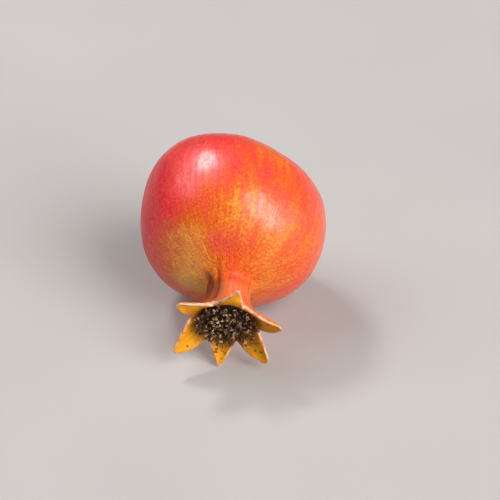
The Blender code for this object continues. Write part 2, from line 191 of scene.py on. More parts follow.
def smooth_step(tree, value, low, high):
    """0 below low, 1 above high and an eased change between them. Low may be above high."""
    settings = {"Value": value, "From Min": low, "From Max": high}
    return add_node(tree, "ShaderNodeMapRange", settings, interpolation_type="SMOOTHSTEP").outputs[0]


def give_relief(tree, shader, height, distance, strength):
    inputs = {"Height": height, "Distance": distance, "Strength": strength}
    bump = add_node(tree, "ShaderNodeBump", inputs)
    tree.links.new(bump.outputs[0], shader.inputs["Normal"])


def blend_values(tree, share, first, second):
    return add_node(tree, "ShaderNodeMix", {0: share, 2: first, 3: second}).outputs[0]


def blend_colours(tree, share, first, second):
    """The first colour where the share is 0, and the second where it is 1."""
    made = add_node(tree, "ShaderNodeMix", data_type="RGBA")
    for socket, value in zip((made.inputs[0], made.inputs[6], made.inputs[7]), (share, first, second)):
        if isinstance(value, bpy.types.NodeSocket):
            tree.links.new(value, socket)
        else:
            socket.default_value = value
    return made.outputs[2]


def noise(tree, place, scale, detail=2.0, roughness=0.5):
    inputs = {"Vector": place, "Scale": scale, "Detail": detail, "Roughness": roughness}
    return add_node(tree, "ShaderNodeTexNoise", inputs).outputs[0]


def stretched(tree, place, scale):
    """A vector scaled by its own amount along each axis."""
    inputs = {0: place, 1: scale}
    return add_node(tree, "ShaderNodeVectorMath", inputs, operation="MULTIPLY").outputs[0]


def colour_ramp(tree, share, stops):
    """A ramp through stops of a position and a screen colour."""
    made = add_node(tree, "ShaderNodeValToRGB", {"Fac": share})
    elements = made.color_ramp.elements
    while len(elements) < len(stops):
        elements.new(0.5)
    for element, (position, colour) in zip(elements, stops):
        element.position = position
        element.color = display(*colour)
    return made.outputs[0]


def display(red, green, blue):
    """A linear colour from the 0 to 255 values that a screen shows."""

    def linear(value):
        value /= 255
        return value / 12.92 if value <= 0.04045 else ((value + 0.055) / 1.055) ** 2.4

    return (linear(red), linear(green), linear(blue), 1.0)


def tint(tree, base, colour, *shares):
    """Lays a screen colour over the base, as strongly as the product of its shares."""
    return blend_colours(tree, product(tree, *shares), base, display(*colour))


def new_material(name):
    """An empty material's tree and its Principled shader."""
    material = bpy.data.materials.new(name)
    material.use_nodes = True
    tree = material.node_tree
    return material, tree, tree.nodes["Principled BSDF"]


print("node helpers ready")

# %% [markdown]
# Two effects are shared by several materials, so each is a node group. The first turns a scene
# place into growth coordinates: the direction from the body's middle, and a place wrapped round
# the axis, in which stretched noise becomes streaks from stalk to crown. The second scatters
# round specks, such as the pores of the rind and dust on dry parts.

# %% Shared node groups


def new_group(name, inputs, outputs):
    """An empty group with its input and output nodes, from each socket's name and kind."""
    group = bpy.data.node_groups.new(name, "ShaderNodeTree")
    for way, sockets in (("INPUT", inputs), ("OUTPUT", outputs)):
        for socket, kind in sockets.items():
            group.interface.new_socket(socket, in_out=way, socket_type="NodeSocket" + kind)
    return group, group.nodes.new("NodeGroupInput"), group.nodes.new("NodeGroupOutput")


def make_growth_group():
    outputs = {"Direction": "Vector", "Streaks": "Vector"}
    group, given, result = new_group("growth place", {"Place": "Vector"}, outputs)
    mapping = add_node(
        group,
        "ShaderNodeMapping",
        {"Vector": given.outputs["Place"], "Location": BODY_MIDDLE, "Rotation": growth_turn},
        vector_type="TEXTURE",
    )
    grown = mapping.outputs[0]
    way = add_node(group, "ShaderNodeVectorMath", {0: grown}, operation="NORMALIZE").outputs[0]
    flat = stretched(group, grown, (1, 1, 0))
    turn = add_node(group, "ShaderNodeVectorMath", {0: flat}, operation="NORMALIZE").outputs[0]
    rise = add_node(group, "ShaderNodeSeparateXYZ", {0: way}).outputs[2]
    latitude = calculate(group, "ARCSINE", rise)
    parts = add_node(group, "ShaderNodeSeparateXYZ", {0: turn}).outputs
    wrapped = add_node(group, "ShaderNodeCombineXYZ", {0: parts[0], 1: parts[1], 2: latitude})
    group.links.new(way, result.inputs["Direction"])
    group.links.new(wrapped.outputs[0], result.inputs["Streaks"])
    return group


def make_specks_group():
    inputs = {"Place": "Vector", "Scale": "Float", "Size": "Float"}
    group, given, result = new_group("specks", inputs, {"Specks": "Float"})
    inputs = {"Vector": given.outputs["Place"], "Scale": given.outputs["Scale"]}
    cells = add_node(group, "ShaderNodeTexVoronoi", inputs)
    shade = add_node(group, "ShaderNodeSeparateColor", {0: cells.outputs["Color"]}).outputs[0]
    size = calculate(group, "MULTIPLY", given.outputs["Size"], calculate(group, "ADD", shade, 0.35))
    inside = calculate(group, "SUBTRACT", size, cells.outputs["Distance"])
    group.links.new(smooth_step(group, inside, 0.0, 0.12), result.inputs["Specks"])
    return group


growth_group = make_growth_group()
specks_group = make_specks_group()


def place_group(tree, group, inputs):
    return add_node(tree, "ShaderNodeGroup", inputs, node_tree=group).outputs


def specks(tree, place, scale, size):
    return place_group(tree, specks_group, {"Place": place, "Scale": scale, "Size": size})["Specks"]


def streak_noise(tree, grown, waves, length, detail=2.0, roughness=0.6):
    """Noise drawn out along the meridians, with its waves round the axis and along it."""
    wrapped = stretched(tree, grown["Streaks"], (waves, waves, length))
    return noise(tree, wrapped, 1.0, detail, roughness)


def object_place(tree):
    return add_node(tree, "ShaderNodeTexCoord").outputs["Object"]


print("groups:", [group.name for group in bpy.data.node_groups])

# %% [markdown]
# The floor is part of the studio, so it stays plain: a pale warm grey with a faint mottle. It is
# rough and has nearly no shine, so that it shows the fruit's soft shadow but no reflection, and
# stays even where the camera looks towards the light.

# %% Floor material
material, tree, shader = new_material("pale_floor")
mottle = noise(tree, object_place(tree), 9.0)
mottle = blend_colours(tree, mottle, display(176, 174, 171), display(184, 182, 179))
tree.links.new(mottle, shader.inputs["Base Color"])
shader.inputs["Roughness"].default_value = 0.9
shader.inputs["Specular IOR Level"].default_value = 0.05
floor.data.materials.append(material)
print("floor material ready")

# %% [markdown]
# The rind piece starts as a copy of the solid, whose faces are loose triangles. Merging them,
# joining the triangles into quads and subdividing gives a smooth dense surface with the solid's
# silhouette. Sculpting by hand could do this too, but this way the fine mesh always fits the
# frame.

# %% Helpers for selecting and finishing
MERGE_DISTANCE = 0.00001


def pick(thing):
    """Makes this the only selected and the active object."""
    bpy.ops.object.select_all(action="DESELECT")
    thing.select_set(True)
    bpy.context.view_layer.objects.active = thing


def select_where(thing, kind, test):
    """Opens edit mode on the new object with only the vertices or faces that pass a test selected."""
    bpy.ops.object.mode_set(mode="EDIT")
    bpy.ops.mesh.select_mode(type=kind)
    bpy.ops.mesh.select_all(action="DESELECT")
    bpy.ops.object.mode_set(mode="OBJECT")
    for element in thing.data.vertices if kind == "VERT" else thing.data.polygons:
        element.select = test(element)
    bpy.ops.object.mode_set(mode="EDIT")


def start(primitive, name, **settings):
    """Adds a primitive on the origin, with nothing else selected."""
    bpy.ops.object.select_all(action="DESELECT")
    primitive(**settings)
    bpy.context.object.name = name
    return bpy.context.object


def start_disc(name, sides, radius):
    """A filled circle, left in edit mode and selected all over."""
    disc = bpy.ops.mesh.primitive_circle_add
    made = start(disc, name, vertices=sides, radius=radius, fill_type="NGON")
    bpy.ops.object.mode_set(mode="EDIT")
    bpy.ops.mesh.select_all(action="SELECT")
    return made


def pull(step, narrowing):
    """Extrudes the selected face by a step and scales it there."""
    bpy.ops.mesh.extrude_region_move(TRANSFORM_OT_translate={"value": step})
    bpy.ops.transform.resize(value=(narrowing, narrowing, 1.0))


def face_outwards():
    """Turns all faces outwards and leaves edit mode."""
    bpy.ops.mesh.select_all(action="SELECT")
    bpy.ops.mesh.normals_make_consistent(inside=False)
    bpy.ops.object.mode_set(mode="OBJECT")


def apply_modifier(thing, kind, **settings):
    pick(thing)
    modifier = thing.modifiers.new(kind.lower(), kind)
    for name, value in settings.items():
        setattr(modifier, name, value)
    bpy.ops.object.modifier_apply(modifier=modifier.name)


def copy_of_node(node, name):
    """A new object with a merged copy of a CAD node's mesh."""
    made = bpy.data.objects.new(name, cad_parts[node].data.copy())
    bpy.context.scene.collection.objects.link(made)
    made.data.materials.clear()
    pick(made)
    bpy.ops.object.mode_set(mode="EDIT")
    bpy.ops.mesh.select_all(action="SELECT")
    bpy.ops.mesh.remove_doubles(threshold=MERGE_DISTANCE)
    bpy.ops.mesh.customdata_custom_splitnormals_clear()
    bpy.ops.mesh.tris_convert_to_quads(face_threshold=math.radians(60), shape_threshold=math.radians(100))
    bpy.ops.object.mode_set(mode="OBJECT")
    return made


rind = copy_of_node("fruit", "rind")
quads = sum(len(face.vertices) == 4 for face in rind.data.polygons)
print("rind starts with", len(rind.data.polygons), "faces,", quads, "of them quads")

# %% Subdivide the rind
apply_modifier(rind, "SUBSURF", levels=2, render_levels=2)
rind.data.shade_smooth()
print("rind has", len(rind.data.polygons), "faces")

# %% [markdown]
# The next steps move single vertices and mark regions, so they need every vertex in growth
# coordinates. Plain arrays do that quickly: places and normals go in, and new places come out.

# %% Vertices as arrays
growth_matrix = np.array(to_growth)
scene_matrix = np.array(to_scene)


def growth_arrays(thing):
    """Every vertex's place and normal in the growth frame."""
    count = len(thing.data.vertices)
    places, normals = np.empty(count * 3), np.empty(count * 3)
    thing.data.vertices.foreach_get("co", places)
    thing.data.vertices.foreach_get("normal", normals)
    turn = growth_matrix[:3, :3]
    return places.reshape(-1, 3) @ turn.T + growth_matrix[:3, 3], normals.reshape(-1, 3) @ turn.T


def set_growth_places(thing, places):
    """Moves every vertex to its place, and none of them below the floor."""
    moved = places @ scene_matrix[:3, :3].T + scene_matrix[:3, 3]
    moved[:, 2] = np.maximum(moved[:, 2], 0.0)
    thing.data.vertices.foreach_set("co", moved.ravel())
    thing.data.update()


def ease(values, low, high):
    """The same eased step as the node helper, for arrays."""
    share = np.clip((values - low) / (high - low), 0, 1)
    return share * share * (3 - 2 * share)


def between(values, start, end):
    """Fades in over the start's two values and out over the end's two."""
    return ease(values, *start) * (1 - ease(values, *end))


def over_floor(places):
    """Each place's height over the floor."""
    return places @ scene_matrix[2, :3] + scene_matrix[2, 3]


def polar(places):
    """Distance from the axis, azimuth and height."""
    return np.hypot(places[:, 0], places[:, 1]), np.arctan2(places[:, 1], places[:, 0]), places[:, 2]


print("growth arrays ready")

# %% [markdown]
# A grown neck isn't turned smooth. Fine ribs run up it to the sepals, a few deep furrows follow
# the seams between the sepals and run out on the body, and the skin puckers round the stalk.
# Each is a small inward move by a formula in azimuth and height, because such lines have to follow the
# meridians, which a plain noise displacement can't do. All moves go inwards, so the fruit never outgrows
# its solid. The material needs three measures that are stored too: how brown a place is, which is painted
# shade in the furrows and painted shade with some russet on one side of the neck, how much it is neck, and
# how matt it is.

# %% Ribs, furrows and puckers
# waves round the axis, depth and phase
RIBS = ((13, 0.00007, 0.6), (23, 0.00005, 2.1), (37, 0.00003, 4.0))
PUCKERS = ((9, 0.00016, 1.0), (14, 0.00012, 3.3))
# azimuth, half width at the waist and depth, and the distance from the axis where each runs out
FURROWS = (
    (143, 13.0, 0.00044, 0.0165),
    (113, 5.5, 0.00038, 0.0155),
    (86, 2.8, 0.00012, 0.0125),
    (47, 3.2, 0.00016, 0.0200),
    (20, 5.0, 0.00026, 0.0160),
    (340, 4.0, 0.00030, 0.0140),
    (303, 6.0, 0.00055, 0.0160),
    (262, 4.0, 0.00035, 0.0145),
    (226, 5.0, 0.00050, 0.0155),
    (182, 4.2, 0.00036, 0.0145),
)
WAIST_RADIUS = 0.0098
# distances from the axis between which the puckers fade in and out
PUCKERS_START = (0.0020, 0.0040)
PUCKERS_END = (0.0070, 0.0130)
# heights between which each fades in or out
NECK_START = (0.0390, 0.0430)
NECK_END = (0.0540, 0.0640)
SHADE_AND_RUSSET_START = (0.0375, 0.0420)
MATT_START = (0.0325, 0.0390)
FURROWS_START = 0.0250
FURROWS_END = (0.0500, 0.0550)
# a furrow this deep is wholly brown with painted shade, and the side with painted shade and russet has its
# middle and width in degrees
FURROW_SHADE_DEPTH = 0.00055
SHADE_AND_RUSSET_MIDDLE = 140
SHADE_AND_RUSSET_WIDTH = 40
SHADE_AND_RUSSET_SHARE = 0.85


def store(thing, name, values):
    attribute = thing.data.attributes.new(name, "FLOAT", "POINT")
    attribute.data.foreach_set("value", np.asarray(values, np.float32))


def degrees_apart(azimuths, middle):
    return (np.degrees(azimuths) - middle + 180) % 360 - 180


places, normals = growth_arrays(rind)
radius, azimuth, height = polar(places)
outside = (normals[:, 0] * np.cos(azimuth) + normals[:, 1] * np.sin(azimuth) - 0.2 * normals[:, 2]) > 0
on_neck = between(height, NECK_START, NECK_END) * outside
ribs = sum(depth * (1 + np.cos(waves * azimuth + phase)) for waves, depth, phase in RIBS) * on_neck
furrows = np.zeros(len(places))
for middle, width, depth, end in FURROWS:
    narrow = width * WAIST_RADIUS / np.maximum(radius, WAIST_RADIUS)
    across = np.exp(-((degrees_apart(azimuth, middle) / narrow) ** 2))
    along = (1 - ease(radius, 0.6 * end, end)) * (1 - ease(height, *FURROWS_END))
    furrows += depth * across * along * (height > FURROWS_START) * outside
puckers = sum(depth * (1 + np.cos(waves * azimuth + phase)) for waves, depth, phase in PUCKERS)
puckers *= between(radius, PUCKERS_START, PUCKERS_END) * (height < 0)
set_growth_places(rind, places - normals * (ribs + furrows + puckers)[:, None])
# painted shade with some russet on one side of the neck, and painted shade in the furrows, stored as how
# brown a place is
shade_and_russet = np.exp(-((degrees_apart(azimuth, SHADE_AND_RUSSET_MIDDLE) / SHADE_AND_RUSSET_WIDTH) ** 2)) * outside
shade_and_russet *= between(height, SHADE_AND_RUSSET_START, NECK_END)
store(rind, "brown", furrows / FURROW_SHADE_DEPTH + SHADE_AND_RUSSET_SHARE * shade_and_russet)
store(rind, "neck", on_neck)
store(rind, "matt", ease(height, *MATT_START))
print("deepest furrow %.2f mm" % (furrows.max() * 1000))

# %% [markdown]
# Broad unevenness is the work of Displace modifiers with cloud textures: slow hollows over the
# body, as a real fruit has, and a finer crumple on the thin sepals, which dry out first. A vertex
# group keeps each where it belongs, and off the flat spot. A midlevel of 1 makes clouds push
# inwards only, and the crumple's lower one lets it go both ways.

# %% Uneven body and crumpled sepals
# vertex group, size of the clouds, strength and midlevel
UNEVEN = (("body", 0.0160, 0.0007, 1.0), ("crown", 0.0045, 0.0005, 0.55))


def weigh(thing, name, weights):
    """A vertex group from one weight per vertex."""
    group = thing.vertex_groups.new(name=name)
    for index in np.flatnonzero(weights > 0.01):
        group.add([int(index)], float(weights[index]), "REPLACE")


def clouds(name, size):
    texture = bpy.data.textures.new(name, "CLOUDS")
    texture.noise_scale = size
    texture.noise_depth = 1
    return texture


places = growth_arrays(rind)[0]
height = places[:, 2]
weigh(rind, "crown", ease(height, 0.050, 0.060))
weigh(rind, "body", (1 - ease(height, 0.036, 0.041)) * ease(over_floor(places), 0.0, 0.003))
for name, size, strength, midlevel in UNEVEN:
    apply_modifier(
        rind,
        "DISPLACE",
        texture=clouds(name + "_clouds", size),
        texture_coords="LOCAL",
        vertex_group=name,
        strength=strength,
        mid_level=midlevel,
    )
set_growth_places(rind, growth_arrays(rind)[0])
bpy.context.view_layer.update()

# %% [markdown]
# The crown needs its own colours: yellow inside, a pale band along the rims, and the rind's own
# colour outside. Seen from a point high on the axis, the sepals' insides face it, their outsides
# face away and their rims stand edge on, also where a sepal curls back. Each vertex stores its
# side, how near a rim it is and how far along the sepal, and the material reads these by name.

# %% Mark the crown's regions
EYE_HEIGHT = RING_HEIGHT + 0.030
RIM_WIDTH = 0.0012
# a vertex is on a rim where it faces the eye less than this, either way
EDGE_ON = 0.18
# how much a vertex faces the eye between the rind's own colour and the inside's
INSIDE_START = (-0.10, 0.20)
SEPAL_LENGTH = 0.0150
# the sepals lie beyond the ring, as measured along this slope of out and up, less some slack
OUT_AND_UP = (0.6, 0.8)
RING_SLACK = 0.0012
places, normals = growth_arrays(rind)
radius, _, height = polar(places)
to_eye = np.array((0, 0, EYE_HEIGHT)) - places
facing = np.sum(normals * to_eye, 1) / np.linalg.norm(to_eye, axis=1)
out, up = radius - RING_RADIUS, height - RING_HEIGHT
from_ring = np.hypot(out, up)
beyond = out * OUT_AND_UP[0] + up * OUT_AND_UP[1] > -RING_SLACK
crown = ease(height, 0.0470, 0.0500) * (beyond | (facing > 0.2))
edge_on = np.flatnonzero(beyond & (np.abs(facing) < EDGE_ON) & (height > 0.050))
edges = KDTree(len(edge_on))
for index in edge_on:
    edges.insert(places[index], int(index))
edges.balance()
to_rim = np.ones(len(places))
for index in np.flatnonzero(crown > 0):
    to_rim[index] = edges.find(places[index])[2]
store(rind, "inner", crown * ease(facing, *INSIDE_START))
store(rind, "rim", beyond * (1 - ease(to_rim, 0.15 * RIM_WIDTH, RIM_WIDTH)))
store(rind, "along", crown * beyond * from_ring / SEPAL_LENGTH)
print("crown vertices:", int((crown > 0.5).sum()), "of them on a rim:", len(edge_on))

# %% [markdown]
# ## The rind's colours
# A ripe pomegranate runs from olive yellow through orange and red to crimson, in streaks and
# specks rather than in one flat blend. One number carries that, ripeness from 0 to 1, and a
# colour ramp turns it into the skin's colours. Broad patches set it first, each one a direction
# from the body's middle with a width and an amount.

# %% Ripeness from broad patches
RIPENESS_START = 0.60
# azimuth and latitude in degrees, half width in degrees, and how much riper the middle is
RIPE_PATCHES = (
    (160, 57, 40, -0.48),
    (128, 66, 28, 0.19),
    (86, 46, 42, -0.24),
    (25, 50, 34, -0.12),
    (34, 46, 48, -0.05),
    (80, 66, 34, 0.05),
    (182, 6, 62, 0.50),
    (128, -10, 60, 0.16),
    (62, -14, 15, -0.12),
    (250, -10, 60, 0.16),
    (330, -20, 45, -0.05),
    (0, -88, 40, 0.14),
    (0, 90, 44, -0.26),
    (86, 69, 29, 0.27),
)


def patch(tree, way, middle, half_width):
    """1 in the middle of a patch and 0 at its edge."""
    close = add_node(
        tree, "ShaderNodeVectorMath", {0: way, 1: direction(*middle)}, operation="DOT_PRODUCT"
    ).outputs["Value"]
    return smooth_step(tree, close, math.cos(math.radians(half_width)), 1.0)


def ripeness_from_patches(tree, way):
    total = RIPENESS_START
    for azimuth, latitude, half_width, amount in RIPE_PATCHES:
        spot = patch(tree, way, (azimuth, latitude), half_width)
        total = calculate(tree, "MULTIPLY_ADD", spot, amount, total)
    return total


print("patches:", len(RIPE_PATCHES))

# %% [markdown]
# Streaks and specks then ruffle that number. Noise in the wrapped place gives streaks of several
# widths that follow the meridians, narrower towards the neck and the stalk, where the meridians
# run together. Fine noise gives the stipple in which yellow shows through the red, stronger in
# some places than in others.

# %% Ripeness with streaks and stipple
STREAKS = (
    # waves round, waves along, amount
    (4.0, 1.4, 0.42),
    (17.0, 2.2, 0.50),
    (44.0, 8.0, 0.30),
    (60.0, 34.0, 0.34),
)
# scale of the noise and amount, and the scale of the patches in which the stipple is stronger
STIPPLE = ((420.0, 0.40), (900.0, 0.62), (1500.0, 0.30))
STIPPLE_PATCHES = 70.0


def ruffle(tree, total, value, amount):
    """Adds noise around its own middle of a half."""
    return calculate(tree, "MULTIPLY_ADD", calculate(tree, "SUBTRACT", value, 0.5), amount, total)


def ripeness(tree, place, grown):
    total = ripeness_from_patches(tree, grown["Direction"])
    for waves, length, amount in STREAKS:
        total = ruffle(tree, total, streak_noise(tree, grown, waves, length), amount)
    strength = smooth_step(tree, noise(tree, place, STIPPLE_PATCHES), 0.2, 0.65)
    for scale, amount in STIPPLE:
        total = ruffle(tree, total, noise(tree, place, scale, 1.0), product(tree, strength, amount))
    return total


SKIN_STOPS = (
    (0.00, (222, 168, 62)),
    (0.20, (226, 140, 34)),
    (0.38, (222, 102, 10)),
    (0.54, (220, 76, 26)),
    (0.68, (230, 64, 50)),
    (0.84, (234, 44, 50)),
    (1.00, (212, 20, 44)),
)
print("skin stops:", len(SKIN_STOPS))

# %% [markdown]
# The inside of a sepal is fleshy and yellow, with fine fibres that run to the tip and a brown freckle here
# and there, and painted shade darkens it where it goes down into the cup. Its rim dried pale pink. The
# stored regions choose between these and the skin, and noise makes each border ragged.

# %% Colours of the crown
FLESH_STOPS = ((0.28, (190, 118, 0)), (0.52, (208, 140, 0)), (0.76, (218, 158, 8)))
RIM_STOPS = ((0.34, (180, 96, 50)), (0.50, (206, 142, 90)), (0.66, (216, 168, 118)))
# how much the painted shade down in the cup, the freckles and the brown of the tips cover what is under
# them
CUP_SHADE_SHARE = 0.75
FRECKLE_SHARE = 0.5
TIP_SHARE = 0.8


def stored(tree, name):
    """A measure that the piece's vertices keep."""
    return add_node(tree, "ShaderNodeAttribute", attribute_name=name).outputs["Fac"]


def ragged(tree, name, place, low, high, raggedness=0.3):
    """A stored region with a noisy border."""
    region = ruffle(tree, stored(tree, name), noise(tree, place, 500.0, 2.0), raggedness)
    return smooth_step(tree, region, low, high)


def sepal_inside(tree, place, grown):
    fibres = streak_noise(tree, grown, 40, 5, 3.0)
    flesh = colour_ramp(tree, fibres, FLESH_STOPS)
    along = stored(tree, "along")
    # painted shade: the yellow flesh is darkened where the sepal goes down into the cup
    cup_shade = smooth_step(tree, along, 0.42, 0.0)
    flesh = tint(tree, flesh, (122, 60, 4), cup_shade, CUP_SHADE_SHARE)
    freckles = specks(tree, place, 800.0, 0.22)
    near_tip = smooth_step(tree, along, 0.6, 1.0)
    return tint(tree, flesh, (112, 52, 22), freckles, near_tip, FRECKLE_SHARE)


def rim_colour(tree, place):
    mottle = noise(tree, place, 420.0, 3.0)
    edge = smooth_step(tree, ruffle(tree, stored(tree, "rim"), mottle, 0.4), 0.86, 1.05)
    band = colour_ramp(tree, mottle, RIM_STOPS)
    tips = smooth_step(tree, ruffle(tree, stored(tree, "along"), mottle, 0.9), 0.75, 1.0)
    band = tint(tree, band, (150, 78, 50), tips, TIP_SHARE)
    return tint(tree, band, (214, 176, 150), edge)


print("crown colours ready")

# %% [markdown]
# A ramp alone looks printed, because real skin has finer marks. Each is a colour mixed in by its
# own share, which keeps it easy to tune. Pale pores and a grain of dark and light dots cover the
# whole skin, and the dark dots grow stronger towards the crown.

# %% Pores and grain of the skin
PORE_SHARE = 0.40
DARK_SHARE = 0.15
LIGHT_SHARE = 0.20
# how many times its own share the dark grain gains towards the crown
DARK_GAIN = 1.7


def with_pores(tree, place, skin):
    return tint(tree, skin, (226, 150, 86), specks(tree, place, 620.0, 0.16), PORE_SHARE)


def with_grain(tree, grain, towards_crown, skin):
    """Dark dots where the grain is low and light ones where it is high."""
    crownward = smooth_step(tree, towards_crown, 0.0, 0.75)
    gain = calculate(tree, "MULTIPLY_ADD", crownward, DARK_GAIN, 1.0)
    skin = tint(tree, skin, (142, 40, 14), smooth_step(tree, grain, 0.60, 0.36), DARK_SHARE, gain)
    return tint(tree, skin, (240, 138, 70), smooth_step(tree, grain, 0.52, 0.70), LIGHT_SHARE)


print("skin finishes ready")

# %% [markdown]
# Where the body runs up to the neck, thin yellow threads follow the meridians. The neck itself is pinkish
# with streaks of tan, and brown fills its furrows and covers one side: painted shade in the furrows, and
# painted shade with some russet on that side. The stored measures say where, and one streaked noise both
# colours the neck and frays the brown, so that they look grown together.

# %% Threads, neck, and russet with painted shade
THREAD_SHARE = 0.30
THREADS_START = (0.78, 0.93)
THREADS_END = (0.975, 0.950)
NECK_STOPS = ((0.34, (192, 98, 44)), (0.50, (220, 120, 70)), (0.64, (234, 146, 104)))
NECK_SHARE = 0.6
FURROW_AND_SIDE_SHADE_SHARE = 0.8


def with_threads(tree, grown, towards_crown, skin):
    """Thin lines, which a streaked noise has wherever it passes its own middle."""
    threads = streak_noise(tree, grown, 20, 3, 1.0, 0.5)
    threads = calculate(tree, "ABSOLUTE", calculate(tree, "SUBTRACT", threads, 0.5))
    threads = smooth_step(tree, threads, 0.05, 0.0)
    started = smooth_step(tree, towards_crown, *THREADS_START)
    not_ended = smooth_step(tree, towards_crown, *THREADS_END)
    return tint(tree, skin, (244, 168, 80), threads, THREAD_SHARE, started, not_ended)


def with_neck(tree, grown, skin):
    lines = streak_noise(tree, grown, 16, 2, 3.0, 0.65)
    pinkish = colour_ramp(tree, lines, NECK_STOPS)
    skin = blend_colours(tree, product(tree, stored(tree, "neck"), NECK_SHARE), skin, pinkish)
    # this brown is painted shade in the furrows, and painted shade with some russet on one side of the
    # neck
    furrow_and_side_shade = smooth_step(tree, ruffle(tree, stored(tree, "brown"), lines, 0.9), 0.1, 0.9)
    return tint(tree, skin, (104, 40, 14), furrow_and_side_shade, FURROW_AND_SIDE_SHADE_SHARE)


print("neck finishes ready")

# %% [markdown]
# The rind is one piece, so one material holds it all: the skin first, then its finer finishes,
# then the sepals' insides, and the rims last, because each lies over the one before.

# %% Build the rind's material
material, tree, shader = new_material("rind")
place = object_place(tree)
grown = place_group(tree, growth_group, {"Place": place})
towards_crown = add_node(tree, "ShaderNodeSeparateXYZ", {0: grown["Direction"]}).outputs[2]
grain = noise(tree, place, 1150.0, 2.0, 0.6)
skin = colour_ramp(tree, ripeness(tree, place, grown), SKIN_STOPS)
skin = with_pores(tree, place, skin)
skin = with_grain(tree, grain, towards_crown, skin)
skin = with_threads(tree, grown, towards_crown, skin)
skin = with_neck(tree, grown, skin)
inner = ragged(tree, "inner", place, 0.35, 0.65)
rim = ragged(tree, "rim", place, 0.25, 0.60)
colour = blend_colours(tree, inner, skin, sepal_inside(tree, place, grown))
colour = blend_colours(tree, rim, colour, rim_colour(tree, place))
tree.links.new(colour, shader.inputs["Base Color"])
print("rind nodes:", len(tree.nodes))

# %% [markdown]
# The skin is waxy and tight, so it has a satin base under a clear coat. The base's relief is an
# orange-peel ripple with faint ridges along the meridians. The coat is the wax. It lies unevenly,
# in streaks and dots that break up the highlights, so its weight follows the ridges and a mottle.
# The crimson side carries less of it, and the neck and the crown are dull, so it fades out there.

# %% Gloss and relief of the rind
PEEL_DEPTH = 0.00050
RIDGE_DEPTH = 0.00025
SKIN_ROUGHNESS = (0.34, 0.60)
DULL_ROUGHNESS = 0.62
WAX_MOTTLE = 0.5
WAX_EDGES = (0.62, 0.90)
THINNEST_WAX = 0.38
DULL_WAX = 0.03
# the crimson side's middle and half width in degrees, and how much less wax it carries
DRY_MIDDLE = (182, 4)
DRY_WIDTH = 64
DRY_LOSS = 0.6
peel = noise(tree, place, 480.0, 3.0, 0.6)
ridges = streak_noise(tree, grown, 34, 4)
relief = calculate(tree, "MULTIPLY_ADD", ridges, RIDGE_DEPTH, product(tree, peel, PEEL_DEPTH))
give_relief(tree, shader, relief, 1.0, 0.9)
dull = calculate(tree, "MAXIMUM", calculate(tree, "MAXIMUM", inner, rim), stored(tree, "matt"))
satin = {"Value": grain, "To Min": SKIN_ROUGHNESS[0], "To Max": SKIN_ROUGHNESS[1]}
satin = add_node(tree, "ShaderNodeMapRange", satin).outputs[0]
tree.links.new(blend_values(tree, dull, satin, DULL_ROUGHNESS), shader.inputs["Roughness"])
wax = calculate(tree, "MULTIPLY_ADD", noise(tree, place, 700.0, 2.0, 0.6), WAX_MOTTLE, ridges)
wax = smooth_step(tree, wax, *WAX_EDGES)
wax = calculate(tree, "MULTIPLY_ADD", wax, 1 - THINNEST_WAX, THINNEST_WAX)
dry_side = product(tree, patch(tree, grown["Direction"], DRY_MIDDLE, DRY_WIDTH), -DRY_LOSS)
wax = calculate(tree, "MULTIPLY_ADD", dry_side, wax, wax)
tree.links.new(blend_values(tree, dull, wax, DULL_WAX), shader.inputs["Coat Weight"])
shader.inputs["Coat Roughness"].default_value = 0.26
shader.inputs["Coat IOR"].default_value = 1.54
shader.inputs["Specular IOR Level"].default_value = 0.22
rind.data.materials.append(material)
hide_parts("fruit")
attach(rind, "root")
print("rind finished")

# %% [markdown]
# ## The stamens
# A pomegranate flower's stamens stay in the cup and dry: thin brown filaments, each with a beige
# anther at its tip. A few kinds of each are modelled once and then copied, because hundreds of
# turned copies of different sizes read as a tuft with no two alike. A filament is a small polygon
# extruded step by step along a bend, and narrowed a little at each step.

# %% Model the filaments
FILAMENT_RADIUS = 0.00017
FILAMENT_STEP = 0.0012
TAPER = 0.92
# each step's bend along x and y, as shares of the step
BENDS = (
    ((0.0, 0.1), (0.2, 0.0), (0.35, -0.1), (0.1, 0.0)),
    ((0.1, 0.0), (-0.15, 0.1), (-0.2, 0.25), (0.1, 0.3)),
    ((0.0, 0.0), (0.1, -0.2), (0.4, -0.2), (0.7, 0.1)),
    ((-0.1, 0.1), (0.0, 0.2), (0.2, 0.2), (0.5, 0.4)),
)


def model_filament(name, bends):
    """A filament that starts at the origin and climbs along +Z, bending at each step."""
    made = start_disc(name, 5, FILAMENT_RADIUS)
    for bend_x, bend_y in bends:
        pull((bend_x * FILAMENT_STEP, bend_y * FILAMENT_STEP, FILAMENT_STEP), TAPER)
    face_outwards()
    return made


filaments = [model_filament("filament_%d" % index, bends) for index, bends in enumerate(BENDS)]
print("a filament has", len(filaments[0].data.polygons), "faces")

# %% [markdown]
# An anther is two pollen sacs side by side. One that stayed closed is a ball pinched down the
# middle. One that split curls up as it dries, so it is a ring with a gap, out of its plane, which
# is simpler than a strip bent round.

# %% Model the anthers
ANTHER_LENGTH = 0.0018
ANTHER_WIDTH = 0.0009
CURL_SLANT = 0.35


def model_pinched_anther(name):
    """Two pollen sacs side by side: a small ball stretched along Z and pinched down the middle."""
    made = start(bpy.ops.mesh.primitive_uv_sphere_add, name, segments=8, ring_count=5, radius=0.5)
    select_where(made, "VERT", lambda vertex: abs(vertex.co.x) < 0.05)
    bpy.ops.transform.resize(value=(1.0, 0.4, 0.9))
    bpy.ops.mesh.select_all(action="SELECT")
    bpy.ops.transform.resize(value=(ANTHER_WIDTH, ANTHER_WIDTH * 0.7, ANTHER_LENGTH))
    bpy.ops.object.mode_set(mode="OBJECT")
    return made


